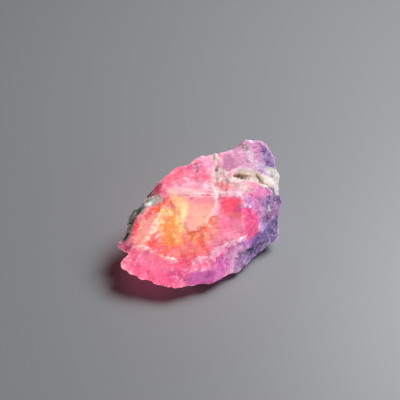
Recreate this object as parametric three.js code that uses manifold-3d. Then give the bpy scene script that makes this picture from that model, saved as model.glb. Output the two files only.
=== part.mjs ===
// A rough piece of hackmanite: one fractured crystal, grown together with its skin of matrix.
// It is modelled as it came to be: a lump bounded by parting faces, from which blows have
// struck shells. Millimetres, +Z up.
// The origin is the middle of the underside, on the surface that the stone rests on.
import * as THREE from "three";
import { ConvexHull } from "three/addons/math/ConvexHull.js";
import { mergeVertices } from "three/addons/utils/BufferGeometryUtils.js";
import Module from "manifold-3d";

const wasm = await Module();
wasm.setup();

const STEP = 2.2; // longest gap between the corners along a line
const FACET = 1.2; // side of a triangle in a struck shell
const SAME_CORNER = 1e-4; // corners nearer than this are one
const ICOSAHEDRON_SIDE = 1.05; // of its radius

// The lump's ridges and creases, as lines through their corners. Every one can be seen from
// the heart, so the corners' directions from there say which of them share a face.
const heart = new THREE.Vector3(0.5, -1, 8.5);
const lines = {
  // Flat parting face that it rests on.
  foot: [
    [-10.5, -8.5, 0], [-5, -12, 0], [3.5, -12, 0], [10, -8, 0], [14, -2, 0],
    [13.5, 5, 0], [8, 8.5, 0], [0, 5.5, 0], [-7, 1, 0], [-11, -4, 0], [-10.5, -8.5, 0],
  ],
  frontLip: [
    [-17.2, -12.8, 6.3], [-16.3, -13.9, 6], [-14, -15.7, 5.5], [-9.7, -17.1, 4.5],
    [-5.6, -17.7, 4], [-2, -16.7, 3.6], [1.9, -16.1, 3], [5.8, -13.7, 2.5],
    [9.7, -11.3, 1.5], [12, -9, 1.7], [13.7, -6.8, 2], [15.2, -5, 2.3], [18.3, -3, 3.5],
  ],
  // Two lobes at the left end, with a notch between them.
  lobes: [
    [-17.2, -12.8, 6.3], [-16.7, -11.6, 7], [-15.9, -10.6, 7.2], [-17.5, -9.6, 7.1],
    [-18.4, -8.3, 8], [-17.4, -6.7, 9.5],
  ],
  // Edges of the glossy skin of matrix, round the left shoulder.
  skinOuter: [[-17.4, -6.7, 9.5], [-16.1, -4.8, 10.5], [-15.1, -1.4, 12], [-12.4, 0.7, 14.5], [-10, 1.3, 17]],
  skinInner: [[-15.4, -6.8, 10.4], [-14.4, -4.8, 11.8], [-13, -2.2, 13.9], [-10.8, -0.8, 16], [-9.4, 0.2, 17.4]],
  brow: [
    [-10, 1.3, 17], [-8, 2.3, 18.5], [-5.4, 4.3, 19.5], [-2.3, 5.7, 20], [1.8, 7.7, 20.5],
    [3.7, 8.5, 20.2], [8.2, 10.2, 20.1], [10, 12.4, 20.3], [11, 13.3, 20.5],
  ],
  crown: [
    [11, 13.3, 20.5], [13, 13.6, 20], [15.2, 13.2, 19], [16.9, 10.8, 17], [18.7, 7.1, 14.5],
    [18.7, 4.4, 12.5], [19.7, 2.5, 10], [18.7, -0.4, 6.5], [18.3, -3, 3.5],
  ],
  // Nearly level top, with a low step, a sunken vein and a second, thinner vein.
  topStep: [[-3.6, 2.6, 19.2], [-1, 2.9, 19.6], [1.8, 2.6, 20]],
  vein: [[3.9, 7, 19.7], [3.6, 3.5, 19.3], [3.9, 0.5, 19.1]],
  veinLip: [[2.6, 6.6, 20.3], [2.4, 3.4, 20.1]],
  thinVein: [[10, 9.6, 19.7], [10.2, 6.6, 19.5]],
  // Bevel that ends the top at the front, and the small step below it.
  bevel: [[-8.1, 0.3, 18], [-3.5, -0.8, 18.9], [2.7, -1.7, 19.5], [8, -1.6, 18.9]],
  shelf: [
    [-7, -1.4, 17.2], [-2, -2.4, 18.1], [3.3, -3, 18.8], [9.6, -2.8, 18],
    [13.6, -0.4, 16.4], [16.6, 1.2, 14.5], [18.7, 4.4, 12.5],
  ],
  // Cavity under the crown, a leaning slot that opens up and to the right.
  cavityTop: [[5.8, 3.2, 19.6], [8.6, 4.7, 19.6], [11.6, 5, 18.9], [14, 5.1, 17.6], [16.8, 5.4, 15.6]],
  cavityFloor: [[7.2, 3.4, 18.3], [9.6, 3.7, 17.3], [12.4, 3.8, 16.6], [15, 4.1, 15.6]],
  cavityFront: [[5.8, 3.2, 19.6], [7.4, 2, 19.4], [10.4, 2, 19], [13.4, 2.4, 17.6], [16.4, 3.8, 15.2]],
  // Clean parting facet below the shelf, and the narrow one on its left.
  window: [
    [-5, -2.4, 16.6], [-1, -3, 17.3], [3.4, -3.7, 17.9], [3.5, -4.8, 16.5],
    [0.5, -7.2, 14], [-2.6, -7.7, 12.9], [-4.3, -4.8, 14.8], [-5, -2.4, 16.6],
  ],
  strip: [[-7, -2.2, 16.4], [-5.6, -5, 14], [-3.7, -7.8, 12.1]],
  // Bowl left of it, and the ridge that parts it from the left-hand face.
  bowlFloor: [[-8, -4.8, 13.6], [-7.8, -6.8, 11.4], [-8.4, -8.8, 10]],
  bowlRight: [[-4.9, -10, 10.2], [-7.2, -11.4, 9.6]],
  bowlRidge: [[-7.4, -2.8, 16], [-8.8, -4.2, 15], [-10.2, -6.2, 13.6], [-11.9, -8.8, 11.4], [-12.4, -10.2, 10]],
  leftHigh: [[-9.4, -1.6, 16], [-11.4, -3.4, 14.2]],
  leftFace: [[-13.2, -6.4, 11.8], [-14, -8.8, 9.9]],
  frontRidge: [
    [-16, -11.2, 8.2], [-13.6, -10.4, 9.8], [-11.3, -11.8, 9.3], [-8.7, -13.1, 9], [-2.6, -14.4, 8.2],
    [1.5, -13, 9.4], [5.6, -11.1, 11], [10.1, -8.7, 11.8], [12.9, -4.6, 13.3], [15.4, -1, 12.2],
  ],
  // Front face, right of the window, and the block at its right-hand end.
  frontFace: [[-0.6, -9.4, 11.4], [2.4, -8.4, 12.4], [6, -6.8, 13.6]],
  frontLow: [[1, -11.4, 10], [4.6, -9.8, 11.2]],
  underShelf: [[4.9, -4.4, 16.2], [7.6, -4.3, 16]],
  blockEdge: [[9.2, -3.6, 17], [9.4, -5.8, 14.6], [12.4, -4.4, 13.8]],
  block: [[11.4, -3, 16], [13.4, -2.2, 14.8]],
  rightFlank: [[16.2, 0.6, 12.6], [17.4, 0, 10.6], [17, -1.6, 8], [16.2, -3.2, 5]],
  // Ridges down the front lip, between its hollows.
  violetRidge: [[15.2, -3.4, 9.8], [14.6, -5.2, 6.8], [12.8, -7.2, 6.4], [10.4, -9.8, 4.8]],
  lilacRidge: [[8.2, -10.2, 7.2], [7, -12, 4.8]],
  purpleRidge: [[-2.6, -14.4, 8.2], [-0.4, -15.2, 6.2], [3.4, -13.8, 6.6], [6, -12.2, 6.2]],
  lowerLeft: [[-13.4, -13.4, 7.8], [-10, -15, 7], [-6.4, -16, 6.2], [-3.6, -15.8, 6.2]],
  // Far side: broad parting faces.
  backEdge: [
    [-15.4, -5, 6], [-14, 0.5, 8], [-10.5, 4.4, 9.6], [-4, 9, 9.4],
    [4.4, 13.4, 10.5], [9.6, 15, 11], [14.4, 14.6, 12], [17.6, 10.6, 10],
  ],
  backHigh: [[-7.6, 4.6, 15], [-2, 8, 16], [3.4, 10.6, 16], [8.6, 13, 16.5]],
  backLow: [
    [-14.6, -10.6, 3], [-14, -4.4, 3], [-10.6, 3.4, 3.6], [-1.6, 9, 3.6],
    [8.6, 12.2, 3.4], [14.4, 9, 3], [17.4, 2.6, 3],
  ],
};

// Shells struck out of the lump: rim is half the shell's width, stretch its length over that
// width, and turn how far the long side is turned from level, all round the face's own normal.
const shells = [
  { name: "browLeft", at: [-4.5, 2.2, 19], rim: 2.6, depth: 0.2, stretch: 1.4 },
  { name: "mauve", at: [6.6, 6.4, 20], rim: 2.6, depth: 0.2 },
  { name: "crownFront", at: [14, 9, 18.6], rim: 2.8, depth: 0.3, stretch: 1.3, turn: 60 },
  { name: "purple", at: [0.6, -15.6, 4.6], rim: 2.6, depth: 0.5, stretch: 1.7 },
  { name: "lilac", at: [7.2, -11.6, 5.8], rim: 1.8, depth: 0.35, stretch: 1.8, turn: 75 },
  { name: "violetLow", at: [10.6, -10.2, 3.8], rim: 2, depth: 0.4, stretch: 1.3, turn: 30 },
  { name: "violetHigh", at: [12, -7, 9], rim: 2.6, depth: 0.4, stretch: 1.3, turn: 50 },
  { name: "toe", at: [14.8, -5.4, 4], rim: 1.8, depth: 0.4 },
  { name: "flankLow", at: [17, -2.4, 7], rim: 1.8, depth: 0.4, stretch: 1.2, turn: 60 },
  { name: "backCrown", at: [12, 14, 14.4], rim: 3, depth: 0.5, stretch: 1.3 },
  { name: "backMiddle", at: [0, 9.8, 12.6], rim: 5, depth: 0.7, stretch: 1.4 },
  { name: "backLeft", at: [-10, 3, 12.6], rim: 3.2, depth: 0.5, stretch: 1.2 },
  { name: "backLow", at: [5, 12.6, 6.6], rim: 4.2, depth: 0.6, stretch: 1.6 },
  { name: "backRight", at: [17.4, 8, 8], rim: 3.4, depth: 0.6, stretch: 1.2 },
  { name: "heel", at: [-12.4, 0.6, 5], rim: 3.6, depth: 0.5, stretch: 1.4 },
  { name: "underLeft", at: [-14, -8, 3], rim: 2, depth: 0.35, stretch: 1.2 },
  { name: "underFront", at: [-6, -14.4, 1.8], rim: 1.6, depth: 0.3, stretch: 2.4 },
];

// A closed three.js geometry as a manifold-3d solid.
function solidOf(geometry) {
  const bare = geometry.clone();
  bare.deleteAttribute("normal");
  bare.deleteAttribute("uv");
  const merged = mergeVertices(bare, SAME_CORNER);
  return new wasm.Manifold(new wasm.Mesh({
    numProp: 3,
    vertProperties: merged.attributes.position.array,
    triVerts: new Uint32Array(merged.index.array),
  }));
}

function geometryOf(solid) {
  const mesh = solid.getMesh();
  return new THREE.BufferGeometry()
    .setAttribute("position", new THREE.BufferAttribute(mesh.vertProperties, 3))
    .setIndex(new THREE.BufferAttribute(mesh.triVerts, 1));
}

// A line's corners, with more between them, so that the faces on its two sides meet along it.
function cornersAlong(line) {
  const corners = line.map((corner) => new THREE.Vector3(...corner));
  return corners.slice(1).flatMap((end, i) => {
    const side = new THREE.LineCurve3(corners[i], end);
    return side.getPoints(Math.ceil(side.getLength() / STEP));
  });
}

// Lines may share a corner, which then counts once.
const corners = new Map();
for (const point of Object.values(lines).flatMap(cornersAlong)) {
  corners.set(point.toArray().map((value) => value.toFixed(3)).join(), point);
}

// The hull of the corners' directions has the lump's faces: each face is put back on its corners.
const cornerAt = new Map([...corners.values()].map((point) => [point.clone().sub(heart).normalize(), point]));
const faces = new ConvexHull().setFromPoints([...cornerAt.keys()]).faces.map((facing) => {
  const edges = [facing.getEdge(0), facing.getEdge(1), facing.getEdge(2)];
  return { facing, triangle: new THREE.Triangle(...edges.map((edge) => cornerAt.get(edge.head().point))) };
});
const lump = new THREE.BufferGeometry().setFromPoints(faces.flatMap(({ triangle: { a, b, c } }) => [a, b, c]));

// The place on the lump in line with a point, with the axes of the face there: z out of the
// stone, y uphill, x level.
function placeOn(at) {
  const from = new THREE.Vector3(...at).sub(heart).normalize();
  const outside = (face) => face.facing.distanceToPoint(from);
  const { triangle } = faces.reduce((best, face) => (outside(face) > outside(best) ? face : best));
  const out = triangle.getNormal(new THREE.Vector3());
  const reach = triangle.a.clone().sub(heart).dot(out) / from.dot(out);
  const level = new THREE.Vector3(0, 0, 1).cross(out).normalize();
  const uphill = out.clone().cross(level);
  return new THREE.Matrix4().makeBasis(level, uphill, out).setPosition(from.multiplyScalar(reach).add(heart));
}

function shellCutter({ at, rim, depth, stretch = 1, turn = 0 }) {
  const radius = (rim * rim + depth * depth) / (2 * depth);
  const ball = new THREE.IcosahedronGeometry(radius, Math.round((ICOSAHEDRON_SIDE * radius) / FACET));
  ball.scale(stretch, 1, 1).translate(0, 0, radius - depth);
  ball.rotateZ(THREE.MathUtils.degToRad(turn)).applyMatrix4(placeOn(at));
  return solidOf(ball);
}

const struck = shells.reduce((solid, shell) => solid.subtract(shellCutter(shell)), solidOf(lump));

const crystal = new THREE.Mesh(
  geometryOf(struck),
  new THREE.MeshStandardMaterial({ color: 0xf07090, roughness: 0.45, metalness: 0 }),
);
crystal.name = "crystal";
crystal.geometry.computeBoundingBox();
const middle = crystal.geometry.boundingBox.getCenter(new THREE.Vector3());
crystal.position.set(-middle.x, -middle.y, 0);

const stone = new THREE.Group();
stone.add(crystal);
export default stone;
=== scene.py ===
import itertools

import bpy
import numpy as np
from mathutils import Matrix, Vector


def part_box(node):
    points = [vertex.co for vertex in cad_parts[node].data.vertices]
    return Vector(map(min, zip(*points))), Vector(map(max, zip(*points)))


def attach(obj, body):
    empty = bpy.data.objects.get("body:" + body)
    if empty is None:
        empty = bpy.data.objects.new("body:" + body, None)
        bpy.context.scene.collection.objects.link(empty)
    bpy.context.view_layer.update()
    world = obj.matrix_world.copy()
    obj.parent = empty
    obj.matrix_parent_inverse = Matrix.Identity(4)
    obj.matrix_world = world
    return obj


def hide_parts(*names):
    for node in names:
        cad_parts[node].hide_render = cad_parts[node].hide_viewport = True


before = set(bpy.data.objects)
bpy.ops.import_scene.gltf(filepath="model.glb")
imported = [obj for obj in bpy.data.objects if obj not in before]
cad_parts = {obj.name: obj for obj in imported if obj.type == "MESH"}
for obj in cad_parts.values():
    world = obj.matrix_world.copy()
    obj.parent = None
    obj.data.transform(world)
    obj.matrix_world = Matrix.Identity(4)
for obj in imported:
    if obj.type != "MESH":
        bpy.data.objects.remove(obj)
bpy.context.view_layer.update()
scene = bpy.context.scene

# ---- The broken lump ----
# One piece of hackmanite, the sodalite that glows orange and turns violet, knocked off a larger
# mass: parting faces and struck shells bound it. Its own shape is remeshed fine enough to carry
# the grain, and is worked in millimetres.
MM = 0.001
VOXEL_MM = 0.2
CHIP_MM = 1.2
GRIT_MM = 0.6
HASH_PRIMES = 73856093, 19349663, 83492791
TABLE_SIZE = 4096
stone_low, stone_high = (np.array(corner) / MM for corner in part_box("crystal"))

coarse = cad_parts["crystal"].data.copy()
coarse.transform(Matrix.Scale(1 / MM, 4))
stone = bpy.data.objects.new("hackmanite_crystal", coarse)
scene.collection.objects.link(stone)
remesh = stone.modifiers.new("even grain", "REMESH")
remesh.mode = "VOXEL"
remesh.voxel_size = VOXEL_MM
fine = bpy.data.meshes.new_from_object(stone.evaluated_get(bpy.context.evaluated_depsgraph_get()))
fine.name = "hackmanite_crystal"
stone.modifiers.clear()
stone.data = fine

points = np.empty(len(fine.vertices) * 3)
fine.vertices.foreach_get("co", points)
points = points.reshape(-1, 3)
edges = np.empty(len(fine.edges) * 2, int)
fine.edges.foreach_get("vertices", edges)
edges = edges.reshape(-1, 2)


def normals():
    """The fine mesh's normals, with its points where they now are."""
    fine.vertices.foreach_set("co", points.ravel())
    fine.update()
    found = np.empty(points.size)
    fine.vertex_normals.foreach_get("vector", found)
    return found.reshape(-1, 3)


def random_vectors(cell, seed):
    """Three random numbers from -1 to 1 for each cell of a grid, from a table the cell points to."""
    table = np.random.default_rng(seed).uniform(-1, 1, (TABLE_SIZE, 3))
    across, away, up = HASH_PRIMES
    mixed = cell[:, 0] * across ^ cell[:, 1] * away ^ cell[:, 2] * up
    return table[mixed & (TABLE_SIZE - 1)]


def noise(where, size, seed):
    """Smooth noise from about -1 to 1, with lumps of a size."""
    grid = where / size
    cell = np.floor(grid).astype(int)
    part = grid - cell
    ease = part**3 * (part * (part * 6 - 15) + 10)
    total = np.zeros(len(where))
    for corner in itertools.product((0, 1), repeat=3):
        weight = np.prod(np.where(corner, ease, 1 - ease), axis=1)
        total += weight * ((part - corner) * random_vectors(cell + corner, seed)).sum(1)
    return total * 1.6


def warped(where, size, amount, seed):
    """Places pushed about by up to an amount in mm, so that what follows them wavers."""
    return where + amount * np.stack([noise(where, size, seed + axis) for axis in range(3)], 1)


def grains(where, size, seed):
    """Angular grains packed together. For each point: its grain's middle, three random numbers
    that belong to the grain, and the way to the next grain (0 on their border)."""
    grid = where / size
    cell = np.floor(grid).astype(int)
    nearest = np.full(len(where), 9.0)
    second = nearest.copy()
    middle = np.zeros_like(where)
    character = np.zeros_like(where)
    for step in itertools.product((-1, 0, 1), repeat=3):
        centre = cell + step + 0.5 + 0.45 * random_vectors(cell + step, seed)
        away = np.linalg.norm(grid - centre, axis=1)
        closer = away < nearest
        second = np.where(closer, nearest, np.minimum(second, away))
        nearest = np.where(closer, away, nearest)
        middle[closer] = centre[closer]
        character[closer] = random_vectors(cell + step, seed + 1)[closer]
    return middle * size, character, second - nearest


def broken(where, size, seed):
    """Flat faces of packed grains, each lying as a rolling surface does at the grain's middle, so
    that it meets the next in a crease."""
    middle, character, border = grains(where, size, seed)
    swell = 2.2 * size
    height = noise(middle, swell, seed + 2)
    flat = height.copy()
    for axis in range(3):
        step = np.eye(3)[axis] * 0.2 * size
        slope = (noise(middle + step, swell, seed + 2) - height) / (0.2 * size)
        flat += (where - middle)[:, axis] * slope
    rolling = noise(where, swell, seed + 2)
    flat = rolling + (flat - rolling) * np.clip(border / 0.12, 0, 1)
    return flat * 0.5 * size, middle, character, border


# The stone crumbles to chips and to grit, and its colours end on the borders of those grains:
# sharply where they follow grainy, loosely where they follow settled.
chips, chip_middle, chip, chip_border = broken(points, CHIP_MM, 14)
grit_relief, grit_middle, grit, _ = broken(points, GRIT_MM, 16)
to_grains = 0.5 * (chip_middle - points) + 0.5 * (grit_middle - points)
grainy = warped(points, 3.0, 0.3, 20) + to_grains
settled = warped(warped(points, 3.0, 0.4, 20), 1.0, 0.15, 23) + 0.4 * to_grains


def linear(hex_colour):
    """sRGB hex to linear RGB."""
    values = np.array([int(hex_colour[i:i + 2], 16) / 255 for i in (1, 3, 5)])
    return np.where(values <= 0.04045, values / 12.92, ((values + 0.055) / 1.055) ** 2.4)


# The body runs from rose at the left end, which gets the most painted glow, to violet at the right. What
# each
# feature does to it is gathered here: how smooth, crumbly or blocky the stone is at each point, how far
# it stands out in mm, how bruised white it is, with some painted highlights and glints, and how much
# painted glow it gives off, an emission that stands in for light. Shown is 1 on the upper and front
# sides, which broke cleaner than the back.
ROSE = linear("#fa6888")
PINK = linear("#f884a4")
MAUVE = linear("#cc7ca8")
ORCHID = linear("#b26c9e")
VIOLET = linear("#7c5e98")
BODY_STOPS = [0, 0.45, 0.62, 0.75, 0.88]
body = (settled - stone_low) / (stone_high - stone_low)
rightward = body[:, 0] + 0.12 * body[:, 1] - 0.18 * body[:, 2] + 0.05 * noise(points, 6.0, 26)
rightward = np.clip(rightward, 0, 1)
body_colours = np.stack([ROSE, PINK, MAUVE, ORCHID, VIOLET])
paint = np.stack([np.interp(rightward, BODY_STOPS, channel) for channel in body_colours.T], 1)
smooth, crumbly, blocky, relief, white, painted_glow = np.zeros((6, len(points)))
normal = normals()
shown = np.clip(0.5 + normal @ np.array([0, -0.6, 0.8]) * 2, 0, 1)
blocky += 0.5 * (1 - shown)

# ---- The far side and the underside ----
# The back is a plainer break of the same stone. Brown-grey crust from the cavity it grew against
# runs down its left, and the sandy vein on top carries on down its middle.
MAGENTA = linear("#c4447f")
CRUST = linear("#a09c8c")
UMBER = linear("#6a4e30")
PITCH = linear("#30271f")
SAND = linear("#b9ad9f")
BACK_VEIN = [(58, 80, 96), (56, 86, 78), (62, 92, 58), (58, 84, 30), (64, 74, 10)]
BACK_CRUST = [(6, 42, 42), (12, 54, 56), (20, 62, 70)]


def place(percent):
    """A place in mm from hundredths of the stone's box: across, away and up."""
    return stone_low + np.array(percent, float) / 100 * (stone_high - stone_low)


def band(where, line, reach, blur=0.5):
    """1 within a reach in mm of a line through places, falling to 0 over the blur."""
    corners = [place(corner) for corner in line]
    nearest = np.full(len(where), np.inf)
    for start, end in zip(corners, corners[1:] or corners):
        along = end - start
        part = np.clip((where - start) @ along / max(along @ along, 1e-9), 0, 1)
        nearest = np.minimum(nearest, np.linalg.norm(where - start - part[:, None] * along, axis=1))
    fall = np.clip((reach + blur - nearest) / (2 * blur), 0, 1)
    return fall * fall * (3 - 2 * fall)


def lay(colour, amount):
    """Colour laid over what is there, as much as the amount says at each point."""
    paint[:] += (colour - paint) * amount[:, None]


def brush(colour, strength, line, reach, blur=0.8, where=settled):
    """Colour brushed along a line through places, out to a reach in mm."""
    lay(colour, strength * band(where, line, reach, blur))


# Features read their places through a warp, so that their edges waver.
bent = warped(warped(points, 4.0, 0.8, 3), 1.5, 0.3, 30)
crumbly += 0.8 * band(bent, BACK_VEIN, 0.7) + 0.5 * band(bent, BACK_CRUST, 1.6, 1.0)
brush(MAGENTA, 0.6, [(15, 20, 8), (50, 10, 8)], 5.0, 4.0)
brush(ROSE, 0.6, [(22, 60, 50), (44, 78, 60)], 3.0, 3.0)
brush(ORCHID, 0.6, [(40, 80, 30), (70, 96, 50)], 4.0, 3.0)
brush(UMBER, 0.8, [(4, 36, 40), (10, 50, 50), (18, 60, 62)], 2.8, 1.0, grainy)
crust = band(grainy, BACK_CRUST, 2.0, 1.0)
lay(CRUST, 0.9 * crust)
brush(PITCH, 0.5, [(5, 38, 36), (10, 50, 42)], 1.2, 1.0)
brush(SAND, 0.8, BACK_VEIN, 0.7, 0.5, grainy)

# ---- The brow ----
# The top's front half: one gently stepped parting face of rose crystal, with veils of healed
# cracks running across it, coral at its left end and purplish where grains lie open.
BROW_ROSE = linear("#f27a96")
CORAL_RED = linear("#ee4660")
HOT_PINK = linear("#e64486")
BLUSH = linear("#f090ae")
PALE_BLUSH = linear("#f8b8c8")
SATIN_ROSE = linear("#e27ea4")
BROW = [(27, 61), (40, 72), (47, 68), (56, 69), (57, 51), (40, 54), (28, 56)]
TOP_STEP = [(41, 64, 95), (48, 64, 96), (55, 63, 98)]
PURPLE_GRAINS = [(46, 70, 96), (47, 66, 96)]
LIGHT_FACET = [(48, 70), (52, 79), (57, 80), (57, 70), (50, 68)]
BROW_STEP = [(41, 64), (47, 64), (55, 63), (57, 50), (40, 53)]
BROW_VEIL = [(30, 63, 92), (36, 61, 93), (44, 60, 95)]


def facet(where, outline, blur=0.3):
    """1 inside a facet of the upper side, given by its corners as seen from above."""
    corners = np.array([place((*corner, 0))[:2] for corner in outline])
    nearest = np.full(len(where), np.inf)
    inside = np.zeros(len(where), bool)
    for start, end in zip(corners, np.roll(corners, -1, axis=0)):
        along = end - start
        off = where[:, :2] - start
        part = np.clip(off @ along / (along @ along), 0, 1)
        nearest = np.minimum(nearest, np.linalg.norm(off - part[:, None] * along, axis=1))
        crosses = (start[1] > where[:, 1]) != (end[1] > where[:, 1])
        with np.errstate(divide="ignore", invalid="ignore"):
            inside ^= crosses & (where[:, 0] < start[0] + (where[:, 1] - start[1]) / along[1] * along[0])
    fall = np.clip(0.5 + np.where(inside, nearest, -nearest) / (2 * blur), 0, 1)
    upper = np.clip((where[:, 2] / stone_high[2] - 0.35) / 0.05, 0, 1)
    return fall * fall * (3 - 2 * fall) * upper


ragged = warped(points, 0.9, 0.35, 4)
smooth += 0.4 * facet(points, BROW, 0.6) + 0.8 * facet(points, LIGHT_FACET, 0.4)
crumbly += 0.4 * band(bent, PURPLE_GRAINS, 0.8)
relief += 0.12 * facet(ragged, BROW_STEP, 0.3)
lay(BROW_ROSE, 0.9 * facet(settled, BROW, 0.8))
brush(CORAL_RED, 0.6, [(26, 57, 88), (30, 61, 91), (35, 66, 94)], 0.9, 1.0)
brush(HOT_PINK, 0.7, [(37, 69, 95), (43, 70, 96)], 0.7, 0.8)
brush(BLUSH, 0.6, [(36, 58, 92), (44, 56, 94), (51, 55, 96)], 0.9, 1.0)
brush(ROSE, 0.8, [(53, 64, 97), (54, 58, 96)], 0.9, 0.6)
brush(PALE_BLUSH, 0.7, [(40, 56, 93), (47, 56, 94), (54, 53, 94)], 0.6, 0.8)
brush(ORCHID, 0.7, PURPLE_GRAINS, 0.6, 0.5, grainy)
lay(SATIN_ROSE, 0.9 * facet(bent, LIGHT_FACET, 0.4))
white += 0.5 * band(bent, TOP_STEP, 0.1, 0.25) + 0.5 * band(bent, [(39, 62, 94), (42, 59, 94)], 0.3, 0.5)
white += 0.35 * band(bent, BROW_VEIL, 0.1, 0.3)

# ---- The mauve facet, the vein and the crown ----
# The top's far half. A seam of sandy matrix and bruised crystal crosses it, with a maroon speck.
# Beyond it are a clean mauve parting face and the crown, split by a hair vein and banded violet.
CLEAN_MAUVE = linear("#c47a9e")
CROWN_PINK = linear("#b6609a")
LILAC = linear("#b094c2")
WHITE = linear("#fbeff0")
MILKY_MAUVE = linear("#cbb0bc")
ROYAL_PURPLE = linear("#624084")
PALE_SAND = linear("#cab6ae")
COCOA = linear("#6e5048")
MAROON = linear("#8c2c4c")
VEIN = [(58, 82, 97), (58, 74, 97), (59, 66, 96), (59, 58, 95), (58, 50, 93)]
HAIR_VEIN = [(76, 92, 99), (76, 84, 96), (77, 75, 94)]
MAUVE_FACET = [(61, 79), (66, 83), (74, 89), (75, 76), (74, 71), (62, 69)]
CROWN = [(79, 94), (84, 96), (91, 90), (94, 79), (88, 76), (80, 80)]
PURPLE_BAND = [(88, 89, 90), (90, 82, 85), (92, 76, 79)]
MAROON_SPECK = [(57, 68), (59, 68), (59, 71), (57, 71)]
patchy = np.clip(0.5 + 0.9 * noise(points, 1.4, 27) + 0.5 * noise(points, 0.6, 28), 0, 1)
smooth += facet(points, MAUVE_FACET, 0.6) + 0.5 * facet(points, CROWN, 0.8)
crumbly += 0.4 * band(bent, VEIN, 0.7) + 0.5 * band(bent, HAIR_VEIN, 0.3, 0.4)
relief -= 0.12 * band(bent, VEIN[1:3], 0.6) + 0.12 * band(bent, HAIR_VEIN, 0.2, 0.3)
lay(CLEAN_MAUVE, facet(bent, MAUVE_FACET, 0.6))
brush(ORCHID, 0.4, [(64, 72, 97)], 1.4, 1.0)
brush(MILKY_MAUVE, 0.7, [(80, 85, 94), (82, 77, 91)], 1.3, 0.7)
brush(CROWN_PINK, 0.85, [(80, 95, 97), (84, 90, 94), (85, 84, 91)], 1.3, 0.7)
brush(MAGENTA, 0.6, [(72, 96, 98), (80, 99, 95)], 0.5, 0.6)
brush(ROYAL_PURPLE, 0.95, PURPLE_BAND, 0.9, 0.5)
brush(LILAC, 0.7, [(86, 76, 87), (90, 74, 82)], 0.9, 0.7)
lay(SAND, 0.85 * band(settled, VEIN[:3], 0.9, 0.5) * np.clip(patchy + 0.4, 0, 1))
lay(PALE_SAND, 0.9 * band(settled, VEIN[2:], 1.4, 0.7) * np.clip(patchy + 0.3, 0, 1))
brush(COCOA, 0.9, [(73, 92, 98), (77, 88, 97)], 0.6, 0.35)
brush(UMBER, 0.7, [(77, 78, 94)], 0.45, 0.35)
brush(WHITE, 0.9, [(79, 95, 99), (82, 94, 98)], 0.45, 0.35, bent)
maroon = facet(points, MAROON_SPECK, 0.2)
lay(MAROON, maroon)
white += 0.6 * band(bent, VEIN, 0.4, 0.5) - 2 * maroon
white += 0.6 * band(bent, HAIR_VEIN, 0.15, 0.3) + 0.6 * band(grainy, [(69, 74, 97)], 0.4, 0.4)
white += 0.5 * band(grainy, [(89, 90, 88), (91, 84, 83)], 0.1, 0.3)
white += 0.5 * band(grainy, [(87, 78, 88), (92, 72, 79)], 0.3, 0.5)

# ---- The cavity ----
# A pocket where sandy matrix fell out: brown grains line its left end, its right end is silted up
# to a groove with a rusty line along it, and pale rounded lips of matrix stand over and under it.
BEIGE = linear("#d6c8b6")
PALE_BEIGE = linear("#eee2da")
GREY_PINK = linear("#cca09e")
OATMEAL = linear("#cbc0b2")
ASH = linear("#c2bdb8")
OCHRE = linear("#94784c")
PEAT = linear("#5a4422")
SHRIMP = linear("#e8a0a4")
RUST = linear("#86663e")
DARK_RUST = linear("#54402e")
CAVITY = [(67, 65, 90), (72, 64, 88), (76, 64, 86)]
SILT = [(80, 66, 84), (84, 67, 80), (90, 67, 74)]
SILT_ROUNDS = 160
UPPER_LIP = [(72, 69, 93), (78, 70, 91), (84, 69, 85), (89, 67, 79)]
LOWER_LIP = [
    (64, 65, 95), (66, 61, 94), (71, 59, 93), (78, 62, 89), (86, 63, 80), (90, 62, 73), (95, 64, 67)]
LIP_CORNER = [(64, 68, 95), (64, 64, 95), (67, 61, 94), (71, 60, 93)]
SHOULDER = [(88, 70, 79), (93, 69, 73), (97, 67, 67)]
SHOULDER_TOP = [(90, 76, 80), (94, 77, 77), (98, 73, 70), (99, 68, 66)]
SHOULDER_END = [(97, 73, 70), (99, 69, 65), (98, 64, 65)]
RUSTY_LINE = [(83, 68, 83), (87, 65, 78), (93, 64, 73), (96, 62, 67)]


def smoothed(values, rounds):
    """Values at the mesh's points, averaged with their neighbours round after round."""
    columns = values.reshape(len(points), -1).T.copy()
    count = np.bincount(edges.ravel(), minlength=len(points))
    first, second = edges.T
    for _ in range(rounds):
        for column in columns:
            total = np.bincount(first, column[second], len(points))
            total += np.bincount(second, column[first], len(points))
            column += (total / count - column) / 2
    return columns.T.reshape(values.shape)


def crest(line, reach, blur=0.2):
    """1 along a ridge or a line of the upper side, given by its places as seen from above."""
    upper = np.clip((points[:, 2] / stone_high[2] - 0.3) / 0.05, 0, 1)
    return band(ragged * [1, 1, 0], [(x, y, 0) for x, y, _ in line], reach, blur) * upper


silted = (smoothed(points, SILT_ROUNDS) - points) * band(points, SILT, 1.7, 0.7)[:, None]
smooth += 0.6 * band(points, UPPER_LIP, 0.9)
crumbly += 0.7 * band(bent, CAVITY, 1.2) + 0.3 * band(bent, LOWER_LIP, 0.6)
# Painted glow lightens the cavity a little.
painted_glow += 0.12 * band(bent, CAVITY, 1.0)
relief -= 0.15 * crest(RUSTY_LINE, 0.1, 0.25)
brush(BEIGE, 0.8, [(72, 66, 90), *SILT], 1.3, 0.8)
brush(OATMEAL, 0.85, UPPER_LIP, 0.7, 0.6)
brush(PALE_BEIGE, 0.85, SHOULDER, 0.7, 0.7)
brush(ASH, 0.9, SHOULDER_TOP, 0.9, 0.5)
brush(ASH, 0.9, SHOULDER_END, 1.6, 0.5, ragged)
brush(GREY_PINK, 0.7, LOWER_LIP[:5], 1.0, 0.7)
brush(PALE_BEIGE, 0.8, LOWER_LIP[1:], 0.3, 0.35, ragged)
brush(OCHRE, 0.95, [(68, 67, 89), (74, 66, 87)], 0.8, 0.4, grainy)
lay(PEAT, 0.9 * band(settled, [(67, 66, 89), (74, 65, 86)], 0.7, 0.4) * (grit[:, 1] > 0.1))
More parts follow.
